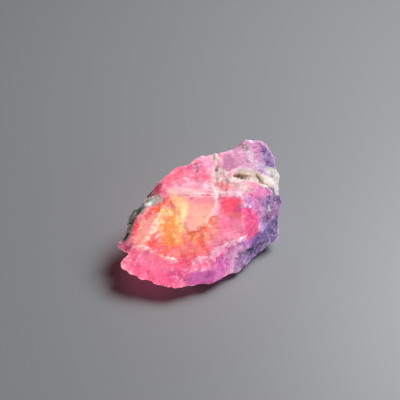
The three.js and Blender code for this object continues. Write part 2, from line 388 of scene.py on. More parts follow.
lay(SAND, 0.6 * band(settled, CAVITY, 0.9) * (grit[:, 0] > 0.6))
brush(SHRIMP, 0.8, [(65, 67, 92), (67, 66, 90)], 0.6, 0.4)
brush(RUST, 0.95, RUSTY_LINE[:2], 0.45, 0.35, grainy)
lay(DARK_RUST, crest(RUSTY_LINE, 0.2) * np.clip(patchy + 0.4, 0, 1))
white -= crest(RUSTY_LINE, 0.3, 0.3)
white += (
    0.5 * band(bent, LIP_CORNER, 0.15, 0.3)
    + 0.6 * band(grainy, LOWER_LIP, 0.3, 0.5)
    + 0.15 * band(bent, SHOULDER, 0.3, 0.5))

# ---- The shelf ----
# Between the cavity and the bevel: grey-pink bruised crystal, with coral and rose showing where
# it is clear.
CORAL_PINK = linear("#f08488")
RASPBERRY = linear("#ea6a90")
ORCHID_PINK = linear("#e07ca8")
FUCHSIA = linear("#e068a8")
POWDER_PINK = linear("#f8c4d0")
smooth += 0.3 * band(bent, [(66, 55, 93), (76, 54, 90)], 1.2, 0.7)
brush(GREY_PINK, 0.8, [(64, 56, 93), (70, 55, 93), (77, 54, 90)], 1.5, 0.8)
brush(CORAL_PINK, 0.7, [(60, 56, 94), (64, 53, 93)], 0.9, 0.7, grainy)
brush(CORAL_RED, 0.6, [(61, 54, 94), (66, 54, 93)], 0.25, 0.4, grainy)
brush(RASPBERRY, 0.8, [(77, 58, 89), (82, 58, 86)], 0.7, 0.6)
brush(ORCHID_PINK, 0.7, [(80, 54, 86), (87, 53, 78)], 1.0, 0.8)
brush(HOT_PINK, 0.8, [(79, 51, 85), (83, 50, 82)], 0.5, 0.4)
brush(FUCHSIA, 0.8, [(83, 57, 80), (88, 57, 75), (92, 58, 72)], 0.8, 0.6)
brush(POWDER_PINK, 0.9, [(61, 48, 91), (71, 48, 89)], 0.6, 0.4, grainy)
white += 0.6 * band(grainy, [(60, 50, 92), (66, 49, 92), (73, 51, 90)], 0.3, 0.5)

# ---- The bowl ----
# The painted glow is strong here: orange fibres fan out from the strip's foot, ember-red grains rim it
# at the upper left, coral sugar at the right, with a few painted lilac glints, and a broken cream ridge
# divides off its left side, with a painted shadow along its right.
EMBER = linear("#f45a34")
ORANGE = linear("#fa8450")
AMBER = linear("#fcb468")
CREAM = linear("#fcc4a8")
PALE_SALMON = linear("#fda494")
TANGERINE = linear("#fb8658")
SUGAR_CORAL = linear("#fa7c64")
RED_CORAL = linear("#f85a5e")
WATERMELON = linear("#f65278")
SOFT_CORAL = linear("#fa8a84")
APRICOT = linear("#fca860")
HONEY = linear("#fcaa5c")
PALE_HONEY = linear("#fcb060")
POPPY = linear("#f04456")
RIDGE_SHADOW_TERRACOTTA = linear("#ee6a50")
PALE_APRICOT = linear("#fcc09c")
GLINT_LILAC = linear("#f08ad4")
BOWL = [(29, 38, 65), (30, 31, 56), (30, 24, 50)]
BOWL_RIGHT = [(45, 28, 58), (50, 26, 56), (54, 35, 70)]
EMBER_RIM = [(30, 48, 81), (27, 46, 77), (23, 43, 73), (19, 42, 68), (15, 40, 64)]
CREAM_RIDGE = [
    (28, 38, 67), (25, 36, 65), (22, 35, 62), (22, 32, 60), (18, 30, 57), (18, 29, 55), (15, 26, 51)]
LEFT_FACE = [(19, 40, 67), (16, 34, 59), (14, 27, 51)]
RED_STRIP = [(11, 38, 59), (10, 35, 54), (9, 32, 51)]
LILAC_GLINTS = [(22, 29, 56), (39, 22, 52), (33, 20, 46), (23, 20, 45)]
STRIP_FOOT = (38, 33, 62)
FIBRES_PER_RADIAN = 9
from_the_foot = points - place(STRIP_FOOT)
turn = np.arctan2(from_the_foot[:, 1], from_the_foot[:, 0])
outward = np.linalg.norm(from_the_foot, axis=1)
fan = np.stack([turn * FIBRES_PER_RADIAN, outward * 0.25, turn * 0], 1)
fibres = noise(fan, 1.0, 5) * np.clip(outward - 0.6, 0, 1)
fibrous = band(bent, BOWL, 3.4, 1.6)
smooth += 0.6 * band(points, LEFT_FACE, 1.3, 1.0)
smooth += 0.5 * band(points, [(36, 20, 48), (48, 22, 52)], 1.5, 1.0)
crumbly += 0.7 * band(bent, EMBER_RIM, 0.8) + 0.6 * band(bent, BOWL_RIGHT, 1.8, 1.0)
relief += 0.09 * fibrous * fibres + 0.12 * band(bent, CREAM_RIDGE, 0.4, 0.5)
brush(PALE_SALMON, 0.9, LEFT_FACE, 2.2, 1.0)
brush(ORANGE, 1.0, BOWL, 3.0, 1.4)
brush(TANGERINE, 0.9, [(37, 31, 60), (38, 22, 52)], 1.0, 0.6)
brush(SUGAR_CORAL, 0.95, BOWL_RIGHT, 2.0, 1.0, grainy)
brush(ORANGE, 0.8, [(44, 28, 57), (48, 22, 52)], 1.4, 0.9, grainy)
brush(RED_CORAL, 0.9, [(20, 25, 49), (27, 19, 46), (38, 17, 46), (50, 21, 51)], 1.6, 0.9)
brush(WATERMELON, 0.9, [(35, 11, 42), (42, 12, 42)], 0.9, 0.7)
brush(SOFT_CORAL, 0.75, [(37, 20, 47), (46, 20, 50)], 0.9, 0.9)
near_the_foot = band(bent, [(34, 36, 64), (33, 28, 54)], 2.2, 1.6)
lay(AMBER, 0.6 * fibrous * np.clip(0.3 + 1.2 * fibres, 0, 1) * near_the_foot)
brush(APRICOT, 0.9, [(27, 42, 72), (34, 41, 72)], 0.8, 0.6)
brush(HONEY, 0.8, [(28, 36, 65), (35, 35, 64)], 1.1, 0.9)
brush(PALE_HONEY, 0.9, [(36, 37, 67), (37, 34, 64), (38, 31, 61)], 0.8, 0.5)
brush(EMBER, 1.0, EMBER_RIM[:4], 0.75, 0.4, grainy)
brush(CORAL_RED, 0.8, EMBER_RIM[3:], 0.7, 0.5, grainy)
brush(POPPY, 0.9, RED_STRIP, 0.6, 0.4)
# Painted shadow: terracotta along the cream ridge's right side, where its shade falls.
brush(RIDGE_SHADOW_TERRACOTTA, 0.7, [(29, 37, 66), (25, 33, 62), (23, 30, 57), (20, 27, 53)], 0.4, 0.4, grainy)
brush(PALE_APRICOT, 0.8, [(25, 39, 68), (30, 41, 70)], 0.4, 0.5)
lay(CREAM, 0.95 * band(ragged, CREAM_RIDGE, 0.3, 0.25) * np.clip(0.7 + patchy, 0, 1))
# Four painted glints: small lilac highlights on the bowl.
for glint in LILAC_GLINTS:
    brush(GLINT_LILAC, 0.85, [glint], 0.3, 0.2, points)
white += 0.3 * band(bent, CREAM_RIDGE, 0.08, 0.3)
# Painted glow: the bowl and the left face give off extra light.
painted_glow += 0.15 * band(settled, BOWL, 3.4, 1.5) + 0.12 * band(settled, LEFT_FACE, 2.0, 1.0)

# ---- The bevel, the window and the strip ----
# Three clean parting faces: a whitish bevel whose lower edge is painted bright as a highlight over a
# thin groove painted dark pink as its shade, the peach window under it, and the straw-yellow strip at
# the window's left, which gets painted glow with it.
PEACH = linear("#fda69a")
STRAW = linear("#ffca96")
BEVEL_PINK = linear("#f6aab8")
BEVEL_CREAM = linear("#fcd4c8")
BEVEL_PALE = linear("#fcd4d4")
WINDOW_ROSE = linear("#f08ca2")
WINDOW_APRICOT = linear("#fdb79a")
PALE_STRAW = linear("#ffe0ac")
ORANGE_STRAW = linear("#ffa478")
BEVEL = [(28, 56), (38, 54), (48, 52), (58, 51), (58, 47), (48, 47), (38, 48), (30, 50)]
BEVEL_EDGE = [(31, 50, 86), (38, 48, 89), (48, 47, 91), (57, 46, 92)]
WINDOW = [(30, 50), (43, 47), (59, 46), (58, 41), (56, 38), (53, 34), (49, 32), (42, 30), (37, 39)]
WINDOW_EDGE = [(59, 46, 90), (58, 41, 82), (56, 38, 77), (53, 34, 70), (49, 32, 66), (42, 30, 62)]
STRIP = [(32, 50), (36, 48), (41, 45), (42, 42), (40, 37), (40, 31), (37, 31), (35, 38), (34, 44)]
in_window = facet(ragged, WINDOW)
smooth += in_window + facet(points, BEVEL, 0.6) + 0.6 * facet(points, STRIP, 0.6)
relief *= 1 - in_window
# Painted glow on the window and the bevel.
painted_glow += 0.25 * in_window + 0.1 * facet(bent, BEVEL, 0.5)
relief += 0.15 * in_window - 0.25 * band(points, BEVEL_EDGE, 0.12, 0.2)
lay(BEVEL_PINK, facet(bent, BEVEL, 0.5))
brush(BEVEL_CREAM, 0.85, [(30, 53, 87), (37, 51, 90), (44, 50, 91)], 0.5, 0.5, bent)
brush(BEVEL_PALE, 0.8, [(43, 50, 91), (57, 49, 93)], 0.4, 0.5, bent)
lay(PEACH, in_window)
brush(WINDOW_ROSE, 0.9, [(42, 47, 87), (50, 46, 88), (57, 45, 88)], 0.7, 0.9, bent)
brush(WINDOW_APRICOT, 0.7, [(46, 38, 74), (46, 34, 68), (51, 36, 72)], 0.9, 1.0, bent)
lay(STRAW, 0.95 * facet(bent, STRIP, 0.5))
brush(PALE_STRAW, 0.8, [(39, 41, 76), (38, 34, 66)], 0.4, 0.4, bent)
brush(ORANGE_STRAW, 0.9, [(32, 50, 84), (36, 42, 73)], 0.7, 0.7, bent)
# Painted shade: a thin dark pink line in the groove under the bevel's edge.
brush(HOT_PINK, 0.8, [(37, 48, 89), (48, 47, 91), (57, 46, 92)], 0.08, 0.14, points)
# Painted highlight: the bevel's lower edge is whitened, as an edge turned up catches the light.
white += 0.9 * band(points, [(31, 51, 87), (38, 49, 90), (48, 48, 92), (57, 47, 93)], 0.12, 0.2)
white += (
    0.12 * band(ragged, WINDOW_EDGE, 0.1, 0.3)
    + 0.4 * band(bent, [(38, 52, 90), (50, 50, 93)], 0.3, 0.4))
white += 0.25 * band(points, [(42, 44, 82), (46, 41, 79), (51, 41, 80)], 0.05, 0.15)

# ---- The coral facet, the block and the pink face ----
# Right of the window: a clear coral parting face, a cloudy lilac block with a ragged white edge,
# and the widest shell of all, smooth pink, deepening to magenta at its right.
SALMON = linear("#fa9488")
BRIGHT_PINK = linear("#fd7c9e")
VEIL_PINK = linear("#f590ac")
DEEP_PINK = linear("#d8447e")
CERISE = linear("#cf4279")
CORAL_ROSE = linear("#fb7484")
EDGE_PINK = linear("#f7a6b6")
CLEAR_CORAL = linear("#fc5474")
BLOCK_ORCHID = linear("#bc68a0")
BLOCK_LILAC = linear("#ba7cb0")
CORAL_FACET = [(61, 46), (71, 46), (72, 43), (70, 40), (64, 39), (60, 41)]
BLOCK = [(73, 48), (78, 50), (84, 49), (86, 44), (80, 42), (74, 44)]
BLOCK_EDGE = [(73, 45, 83), (75, 43, 79), (79, 41, 73), (84, 42, 70)]
PINK_FACE = [
    (60, 39), (68, 37), (74, 39), (80, 41), (84, 39), (81, 31), (72, 26), (63, 23), (56, 27), (58, 35)]
PINK_RIGHT = [(78, 42), (84, 41), (86, 37), (83, 31), (79, 28), (77, 30), (79, 35)]
smooth += 0.8 * facet(points, CORAL_FACET, 0.5) + 0.5 * facet(points, PINK_FACE, 1.0)
blocky += 0.2 * facet(points, BLOCK, 1.0)
crumbly += 0.5 * band(bent, BLOCK_EDGE, 0.4) + 0.4 * band(bent, [(69, 43, 82), (79, 42, 73)], 0.4)
lay(BRIGHT_PINK, facet(settled, PINK_FACE, 1.0))
# Painted glow on the pink face and the coral facet.
painted_glow += 0.15 * facet(settled, PINK_FACE, 1.0) + 0.15 * facet(bent, CORAL_FACET, 0.4)
brush(VEIL_PINK, 0.8, [(61, 26, 58), (70, 30, 60), (74, 34, 65)], 1.0, 0.9)
brush(BLUSH, 0.5, [(62, 33, 68), (70, 34, 68)], 0.4, 0.6, bent)
brush(DEEP_PINK, 0.9, [(78, 40, 71), (79, 35, 63), (77, 31, 57)], 2.0, 0.7, bent)
lay(CERISE, 0.9 * facet(bent, PINK_RIGHT, 0.5))
brush(CORAL_ROSE, 1.0, [(63, 38, 77), (73, 38, 74)], 0.9, 0.5)
brush(SALMON, 0.7, [(57, 34, 71), (57, 29, 61)], 1.0, 0.9)
brush(EDGE_PINK, 0.9, [(58, 47, 90), (59, 42, 82), (57, 38, 76)], 0.7, 0.5, bent)
lay(CLEAR_CORAL, facet(bent, CORAL_FACET, 0.35))
white -= 0.7 * band(bent, [(59, 45, 88), (59, 42, 82), (57, 38, 76)], 0.5, 0.5)
brush(HOT_PINK, 0.8, [(71, 41, 79), (74, 41, 76), (79, 41, 73)], 0.5, 0.3, grainy)
lay(BLOCK_ORCHID, 0.9 * facet(settled, BLOCK, 0.6))
brush(BLOCK_LILAC, 0.8, [(76, 46, 82), (80, 45, 78)], 0.8, 0.4, ragged)
white += 0.6 * band(grainy, BLOCK_EDGE, 0.15, 0.35)

# ---- The front lip ----
# The front overhangs in rose lobes at the left, with a small nub at their end, whose top is painted pale
# as a highlight, and a plum face at the right. A thin cream ridge and a sugary pale one divide it from
# the bowl.
PLUM = linear("#c05a9c")
LOBE_ROSE = linear("#fc6690")
LOBE_BLUSH = linear("#f58aa4")
CLARET = linear("#9a2c5c")
BLOOM = linear("#dc94c4")
PLUM_ROSE = linear("#cc4c88")
RIDGE_ROSE = linear("#ee5c88")
BERRY = linear("#cc4c8c")
GRAPE = linear("#ae549c")
MULBERRY = linear("#b0559a")
NUB_RED = linear("#a84a66")
NUB_HIGHLIGHT_PINK = linear("#e890ac")
CREST_PINK = linear("#fcd2df")
CREST_CREAM = linear("#fcccc0")
FRONT_RIDGE = [(9, 24, 47), (16, 23, 48), (20, 19, 46), (25, 16, 44), (29, 15, 43), (34, 14, 42)]
PALE_RIDGE = [(44, 12, 40), (52, 15, 43), (58, 19, 49), (65, 23, 53), (72, 26, 53), (78, 29, 53)]
LOBE_EDGE = [(17, 22, 47), (13, 18, 42), (9, 13, 36)]
PLUM_FACE = [(46, 6, 23), (53, 7, 23), (59, 10, 25)]
PLUM_EDGE = [(43, 9, 35), (52, 11, 37), (58, 15, 41)]
UNDER_RIDGE = [(60, 16, 35), (66, 19, 37), (71, 23, 41)]
TIP_GRAINS = [(3, 14, 37), (5, 12, 34)]
SPECKLED = [(33, 7, 35), (38, 5, 31)]
NUB = [(1, 26, 39), (4, 27, 40)]
LOBES = [(12, 12, 34), (30, 6, 28)]
LOBE_KNOB = [(4, 16, 31), (7, 12, 29)]
front_crest = crest(FRONT_RIDGE, 0.15) * np.clip(0.2 + patchy, 0, 1)
pale_crest = crest(PALE_RIDGE, 0.15, 0.3) * np.where(grit[:, 1] > -0.3, 0.7, 0.2)
smooth += (
    1.2 * band(points, PLUM_FACE, 2.2, 1.0)
    + 0.6 * band(points, [(14, 14, 38), (30, 7, 32)], 2.6, 1.0))
smooth += 0.6 * band(points, [(12, 24, 46), (9, 20, 42)], 1.0, 0.8) + 0.8 * band(points, NUB, 1.2, 0.6)
crumbly += 0.9 * band(bent, PALE_RIDGE, 0.7) + 0.5 * band(bent, FRONT_RIDGE, 0.4)
crumbly += 0.8 * band(points, TIP_GRAINS, 0.5) + 0.3 * band(bent, PALE_RIDGE, 1.6)
under_ridge = band(points, UNDER_RIDGE, 0.9, 0.7)
crumbly -= 0.7 * under_ridge
relief += 0.1 * band(bent, PALE_RIDGE, 0.4, 0.4) + 0.15 * band(points, LOBE_EDGE, 0.1, 0.5)
relief += 0.8 * band(points, [(1, 28, 39)], 0.7, 0.8) + 0.6 * band(points, LOBE_KNOB, 0.7, 0.9)
relief -= 0.8 * band(points, [(2, 22, 34), (7, 22, 38)], 0.2, 0.6)
# Painted glow on the rose lobes.
painted_glow += 0.15 * band(settled, LOBES, 3.0, 1.4)
brush(LOBE_ROSE, 0.85, LOBES, 3.0, 1.4)
brush(HOT_PINK, 0.4, [(26, 5, 27), (38, 6, 30)], 1.6, 1.2)
brush(LOBE_BLUSH, 0.5, [(14, 19, 42), (22, 12, 38), (30, 9, 36)], 0.7, 1.0, bent)
brush(MAGENTA, 0.7, SPECKLED, 0.9, 0.7, grainy)
brush(CLARET, 0.7, [(37, 6, 33), (39, 4, 27)], 0.35, 0.4, grainy)
brush(PLUM, 1.0, [*PLUM_FACE, (64, 13, 28)], 2.0, 0.5, bent)
brush(BLOOM, 0.8, [(45, 9, 33), (53, 11, 35), (58, 14, 38)], 0.3, 0.4, bent)
brush(PLUM_ROSE, 0.6, [(46, 3, 18), (56, 5, 16)], 0.8, 0.8)
brush(RIDGE_ROSE, 0.9, [(48, 11, 37), (55, 14, 39), (62, 19, 42)], 0.8, 0.6, grainy)
brush(BERRY, 0.8, [(56, 14, 36), (61, 17, 38)], 0.8, 0.5, grainy)
brush(GRAPE, 0.85, [(63, 18, 38), (68, 21, 42), (73, 25, 45)], 0.8, 0.5, grainy)
brush(MULBERRY, 0.7, UNDER_RIDGE, 0.9, 0.6)
brush(NUB_RED, 0.9, NUB, 1.5, 0.7)
# Painted highlight: the nub's top is painted pale pink.
brush(NUB_HIGHLIGHT_PINK, 0.8, [(3, 29, 44), (6, 28, 43)], 0.4, 0.4)
lay(CREST_PINK, pale_crest)
white += 0.5 * band(grainy, PALE_RIDGE, 0.2, 0.35)
lay(CREST_CREAM, 0.85 * front_crest)
white += (
    0.3 * front_crest
    + 0.3 * pale_crest
    + 0.3 * band(grainy, [(26, 15, 44), (30, 15, 43)], 0.1, 0.5))
white += 0.7 * crest(LOBE_EDGE, 0.05) + 0.9 * band(grainy, TIP_GRAINS, 0.7, 0.5) - 0.6 * under_ridge
white += 0.5 * crest(PLUM_EDGE, 0.02) + 0.5 * (grit[:, 1] > 0.75) * band(grainy, SPECKLED, 0.8)

# ---- The violet flank ----
# The right-hand end broke into shards: lavender faces, dark violet pits between them and bright
# edges, with a lilac streak where it meets the front lip. The creases along the chips' borders are
# painted dark as shade, and random shards carry painted glints.
NIGHT = linear("#46306e")
CLEAN_VIOLET = linear("#624884")
RED_VIOLET = linear("#9456a0")
BRIGHT_VIOLET = linear("#7652a8")
PALE_VIOLET = linear("#a47cb4")
STREAK_LILAC = linear("#dc9cca")
ASH_LILAC = linear("#a490a8")
SHARD_LAVENDER = linear("#b096c4")
CHIP_LAVENDER = linear("#a888c0")
EDGE_LAVENDER = linear("#b896c4")
PIT_PLUM = linear("#702a6c")
INK = linear("#38265e")
GLINT_LAVENDER = linear("#9a86b8")
FLANK = [(92, 55, 60), (94, 52, 45), (92, 47, 30), (86, 38, 25), (78, 27, 20)]
PITS = [(88, 45, 56), (89, 46, 50), (90, 47, 44)]
LILAC_STREAK = [(72, 25, 41), (70, 21, 28), (68, 17, 15)]
BRIGHT_EDGE = [(84, 38, 52), (87, 43, 58), (88, 45, 62)]
BLOCK_MM = 2.4
blocks, _, block, _ = broken(warped(points, 2.0, 0.3, 11), BLOCK_MM, 12)
in_flank = band(bent, FLANK, 3.0, 1.5)
blocky += 0.7 * in_flank
clean = band(points, [(77, 29, 37), (83, 35, 34), (92, 44, 31)], 1.4, 0.8)
smooth += 0.9 * clean
shards = in_flank * (1 - clean) * np.clip(body[:, 2] * 8 - 2.6, 0.3, 1)
relief -= 0.3 * band(bent, PITS, 0.3, 0.5)
relief += 0.3 * band(points, [(80, 30, 28), (84, 34, 24)], 0.6, 1.0)
# Less painted glow on the violet flank and its dark spot.
painted_glow -= 0.3 * in_flank + 0.3 * band(points, [(81, 30, 27), (84, 33, 21)], 1.3)
brush(VIOLET, 0.9, FLANK, 2.6, 1.2)
brush(CLEAN_VIOLET, 0.9, [(82, 34, 36), (88, 40, 33), (95, 47, 29)], 1.5, 0.6)
brush(RED_VIOLET, 0.85, [(74, 27, 43), (79, 31, 40)], 1.1, 0.8)
brush(BRIGHT_VIOLET, 0.8, [(93, 45, 29), (96, 49, 30)], 0.7, 0.5)
brush(PALE_VIOLET, 0.7, [(93, 53, 60), (97, 57, 62)], 0.9, 0.6)
brush(STREAK_LILAC, 0.8, LILAC_STREAK, 0.8, 0.5, bent)
brush(ASH_LILAC, 0.7, [(70, 17, 16), (73, 19, 12)], 0.6, 0.5, grainy)
lay(SHARD_LAVENDER, 0.75 * shards * (block[:, 0] > 0.2))
lay(ORCHID, 0.5 * shards * (block[:, 0] < -0.5))
lay(CHIP_LAVENDER, 0.4 * shards * (chip[:, 0] > 0.5))
# Dark violet on random chips is their own tone; along the chips' borders it is painted shade in the
# creases.
lay(NIGHT, 0.35 * shards * ((chip[:, 0] < -0.7) | (chip_border < 0.05)))
brush(EDGE_LAVENDER, 0.9, [(85, 40, 51), (86, 41, 45), (87, 41, 42)], 0.8, 0.3, ragged)
brush(PIT_PLUM, 0.9, PITS[:2], 0.6, 0.35, grainy)
brush(NIGHT, 0.85, PITS[1:], 0.5, 0.4, grainy)
brush(INK, 0.95, [(80, 28, 27), (82, 30, 22), (84, 33, 20)], 1.2, 0.4, grainy)
# Painted glints: lavender highlights on the chips near the dark spot.
lay(GLINT_LAVENDER, 0.6 * band(settled, [(84, 33, 27), (87, 36, 23)], 0.8, 0.4) * (chip[:, 1] > 0))
white += 0.9 * band(ragged, BRIGHT_EDGE, 0.1, 0.2) + 0.4 * band(grainy, LILAC_STREAK, 0.2, 0.4)
# Painted glints: white highlights on random shards.
white += 0.5 * shards * (chip[:, 1] > 0.78) * (grit[:, 0] > 0)

# ---- The skin ----
# The outer rind of the mass the stone came from: lumpy grey-green glass, edged in black, tailing off
# down the left to the nub, with a bluish-white highlight painted on it. Crimson shows behind it.
GLASSY = linear("#dcdccc")
SKIN_HIGHLIGHT_WHITE = linear("#f8fcff")
GARNET = linear("#a83048")
MOSS = linear("#6a6654")
PALE_SKIN_AND_SHEEN = linear("#d2d6d2")
SKIN = [(11, 46, 64), (15, 48, 71), (19, 49, 76), (23, 50, 79)]
SKIN_TAIL = [(1, 28, 43), (3, 30, 46), (6, 34, 51), (8, 40, 58), (10, 45, 64)]
SKIN_RIM = [(3, 36, 44), (9, 48, 58), (13, 54, 68), (19, 57, 77)]
UNDERCUT = [(3, 40, 46), (8, 50, 58), (12, 55, 66)]
TAIL_UNDERCUT = [(2, 35, 46), (4, 42, 53)]
worn = np.clip(0.85 + 1.1 * noise(points, 0.7, 61) + 1.4 * band(points, SKIN[:3], 0.5, 0.8), 0, 1)
skin = worn * band((settled + 2 * grainy) / 3, SKIN, 1.05, 0.45)
skin = np.maximum(skin, band(settled, SKIN_TAIL, 0.5, 0.35))
skin = np.maximum(skin, band(settled, [(9, 50, 60), (15, 54, 72)], 0.6, 0.4))
# Painted highlight: a bluish-white spot where the glassy skin would reflect the light; the material
# gives it full glow.
skin_highlight = band(bent, [(18, 48, 74), (19, 48, 75)], 0.4, 0.5)
smooth += band(points, SKIN[:3], 0.9) + band(points, SKIN_TAIL, 0.8)
relief += (
    0.25 * band(bent, SKIN, 0.8, 0.8)
    - 0.9 * band(points, UNDERCUT, 1.0, 1.5)
    - 0.8 * band(points, TAIL_UNDERCUT, 0.9, 1.0)
    + 0.16 * noise(points, 1.5, 19) * band(points, SKIN, 1.4, 0.6))
brush(GARNET, 0.9, [(18, 53, 79), (24, 57, 86)], 1.1, 0.5, grainy)
lay(GLASSY, skin)
lay(UMBER, 0.6 * skin * np.clip(1.6 * patchy - 0.8, 0, 1))
brush(MOSS, 0.8, SKIN[:2], 0.9, 0.5, grainy)
brush(PITCH, 0.9, SKIN_TAIL, 0.4, 0.3)
brush(PITCH, 0.9, SKIN_RIM, 0.8, 0.4)
brush(PITCH, 0.8, [(9, 46, 62), (13, 50, 68), (17, 53, 76)], 0.35, 0.3, grainy)
brush(PITCH, 0.9, [(2, 31, 44), (6, 39, 52), (9, 47, 60)], 0.5, 0.3, grainy)
brush(UMBER, 0.8, [(20, 50, 77), (22, 49, 78)], 0.2, 0.3, grainy)
brush(PITCH, 0.85, [(7, 38, 56), (9, 42, 61), (11, 46, 66)], 0.75, 0.3)
# Pale grey round the painted highlight: partly the skin's own lighter grey, partly painted sheen.
brush(PALE_SKIN_AND_SHEEN, 0.6, [(17, 48, 73), (21, 50, 77)], 0.7, 0.6)
lay(CRUST, 0.75 * crust * np.clip(1.5 * patchy - 0.3, 0, 1) * (grit[:, 0] > -0.5))
# The painted highlight laid on the skin.
lay(SKIN_HIGHLIGHT_WHITE, skin_highlight)

# ---- The broken surface ----
# Hackmanite parts in flat faces, flakes in shallow shells and crumbles to angular grains. The
# parting faces stay flat, and everything else takes the relief of shells, slabs, chips and grit.
SHELL_MM = 4.6
SLAB_MM = 5.5
SHARP_EDGE = np.radians(32)


def streaks(direction, width, length, seed):
    """Noise drawn out along a direction, as cleavage steps and healed veils are."""
    grain = np.array(direction, float) / np.linalg.norm(direction)
    wavy = warped(points, 3.0, 0.4, seed)
    return noise(wavy - np.outer(wavy @ grain, grain) * (1 - width / length), width, seed + 5)


smooth, crumbly, blocky = (np.clip(amount, 0, 1) for amount in (smooth, crumbly, blocky))
shell_middle = grains(bent, SHELL_MM, 10)[0]
shell = np.linalg.norm(bent - shell_middle, axis=1) / SHELL_MM
slabs = broken(warped(points, 4.0, 0.6, 6), SLAB_MM, 7)[0]
lying = streaks((1, 0.25, 0), 0.45, 5.0, 40)
standing = streaks((0, -0.5, 1), 0.5, 4.0, 50)
folds = streaks((-0.2, -0.5, 1), 1.6, 7.0, 60)
on_lobes = band(points, [(10, 12, 30), (50, 6, 25)], 3.6, 1.5)
on_plum = band(points, [(60, 14, 28), (74, 24, 35)], 2.6, 1.5)
on_front = np.clip(on_lobes + on_plum, 0, 1)
streaky = on_front * standing + (1 - on_front) * lying
relief += 0.06 * streaky + 0.35 * on_front * folds + (1 - 0.85 * smooth) * (
    0.2 * noise(points, 5.0, 18)
    + (0.7 - 0.3 * shown) * (shell**2 - 0.3)
    + (0.3 - 0.05 * shown) * slabs
    + (0.3 + 0.5 * blocky) * blocks
    + (0.35 + 0.5 * crumbly + 0.6 * blocky) * chips
    + (0.3 + 0.7 * crumbly) * grit_relief)

# The relief fades out towards the flat underside, so that the stone still rests on it. Bulge and
# crisp say how far each point then stands out from the points round it, wide and close.
points += silted
points += normal * (relief * np.clip(points[:, 2] / 1.2, 0, 1))[:, None]
points[:, 2] = np.maximum(points[:, 2], 0)
normal = normals()
bulge = ((points - smoothed(points, 10)) * normal).sum(1)
crisp = ((points - smoothed(points, 2)) * normal).sum(1)
crisp = np.clip(crisp / (2 * crisp.std()), -1, 1) * (1 - 0.6 * smooth)

# Each block and grain is a little lighter or darker than its neighbours, and close ridges are painted
# lighter and close hollows darker, as painted shade.
# Veils run with the cleavage, the bruised edges are white, and the creases get a redder painted shade.
tone_and_painted_shade = 0.3 * blocky * block[:, 2] + 0.25 * crisp + (0.08 + 0.1 * blocky) * chip[:, 2]
paint *= (1 + tone_and_painted_shade + (0.05 + 0.11 * crumbly) * grit[:, 2])[:, None]
paint *= (1 - 0.28 * np.clip(-streaky - 0.1, 0, 1) * (1 - 0.6 * smooth))[:, None]
lay(WHITE, 0.32 * np.clip(streaky - 0.12, 0, 1) * patchy * (1 - skin) * (1 - 0.75 * smooth))
bruised = np.clip(bulge * 7 - 0.25, 0, 0.5) * patchy * (1 - skin)
white = np.clip(1.3 * white, 0, 1) * np.clip(patchy + 0.15, 0, 1) + bruised
# White painted glints on random grains where the stone is crumbly or blocky.
white = np.clip(white + 0.5 * (crumbly + 0.4 * blocky) * (grit[:, 1] > 0.88), 0, 1)
lay(WHITE, 0.8 * np.clip(white, 0, 1))
# Painted shade: hollows are darkened, green and blue more than red, so that creases look deep and
# redder.
paint *= 1 - np.clip(-bulge * 3 - 0.1, 0, 0.45 - 0.2 * crumbly)[:, None] * [0.5, 1.1, 1.0]

# Painted glow, an emission that stands in for light passing through the stone and for the light that
# steep
# faces miss: thin and steep parts glow most, and the left end more than the right. Faces turned down
# glow little except at the left end, where the glow lights the floor red. The back's crust doesn't glow,
# the skin and the cavity glow a little, and the painted highlight on the skin glows fully.
warm = np.clip(1.35 - rightward * 1.6, 0, 1)
steep = np.clip(0.9 - normal[:, 2], 0, 1)
painted_glow = np.clip(painted_glow + 0.24 + 0.9 * steep + 0.28 * warm + 0.3 * warm * steep, 0, 1)
clear = (1 - skin) * (1 - crust) * (1 - 0.7 * band(settled, CAVITY, 0.9, 0.5))
painted_glow *= clear * np.clip(1.2 + 1.5 * normal[:, 2] + np.clip(1.1 - 2.2 * rightward, 0, 1), 0, 1)
painted_glow += 0.22 * band(settled, SKIN, 1.0, 0.5) + skin_highlight * (1 - painted_glow)


def store(name, kind, values):
    """Values at the mesh's points, kept under a name that the material reads."""
    attribute = fine.attributes.new(name, kind, "POINT")
    field = "color" if kind == "FLOAT_COLOR" else "value"
    attribute.data.foreach_set(field, values.astype(np.float32).ravel())


store("paint", "FLOAT_COLOR", np.hstack([paint, np.ones((len(paint), 1))]))
# The painted glow, which the material turns into emission.
store("painted_glow", "FLOAT", painted_glow)
store("skin", "FLOAT", skin)
# Where the white sugar specks go, partly sugary grain and partly painted glints: most on crumbly and
# blocky grains and on the upper and front sides, less on the skin.
sugar_and_glints = np.clip(0.35 + 0.65 * crumbly + 0.3 * blocky - 0.25 * smooth, 0, 1) * (0.4 + 0.6 * patchy)
sugar_and_glints = sugar_and_glints * (0.45 + 0.55 * shown) * (1 - 0.6 * skin)
store("sugar_and_glints", "FLOAT", sugar_and_glints)
points *= MM
fine.vertices.foreach_set("co", points.ravel())
fine.polygons.foreach_set("use_smooth", np.ones(len(fine.polygons), bool))
fine.set_sharp_from_angle(angle=SHARP_EDGE)
fine.update()

# Hackmanite, freshly broken: a soft glassy lustre on the parting faces, sugary on the grains,
# and light that sinks in and comes back, with a painted glow: an emission that stands in for light
# passing through the stone.
CLOUDS_PER_MM = 0.42
FLECKS_PER_MM = 1.9
SUGAR_PER_MM = 2.6
CRACKS_PER_MM = 0.33
WANDERS_PER_MM = 0.5
WANDER_MM = 1.6
BUMP_MM = 0.12
SCATTER_MM = 0.6
HACKMANITE_IOR = 1.483
PAINTED_GLOW_STRENGTH = 0.9
STRETCHED = {"operation": "MULTIPLY_ADD", "use_clamp": True}
material = bpy.data.materials.new("hackmanite, freshly broken")
material.use_nodes = True
tree = material.node_tree
shader = tree.nodes["Principled BSDF"]


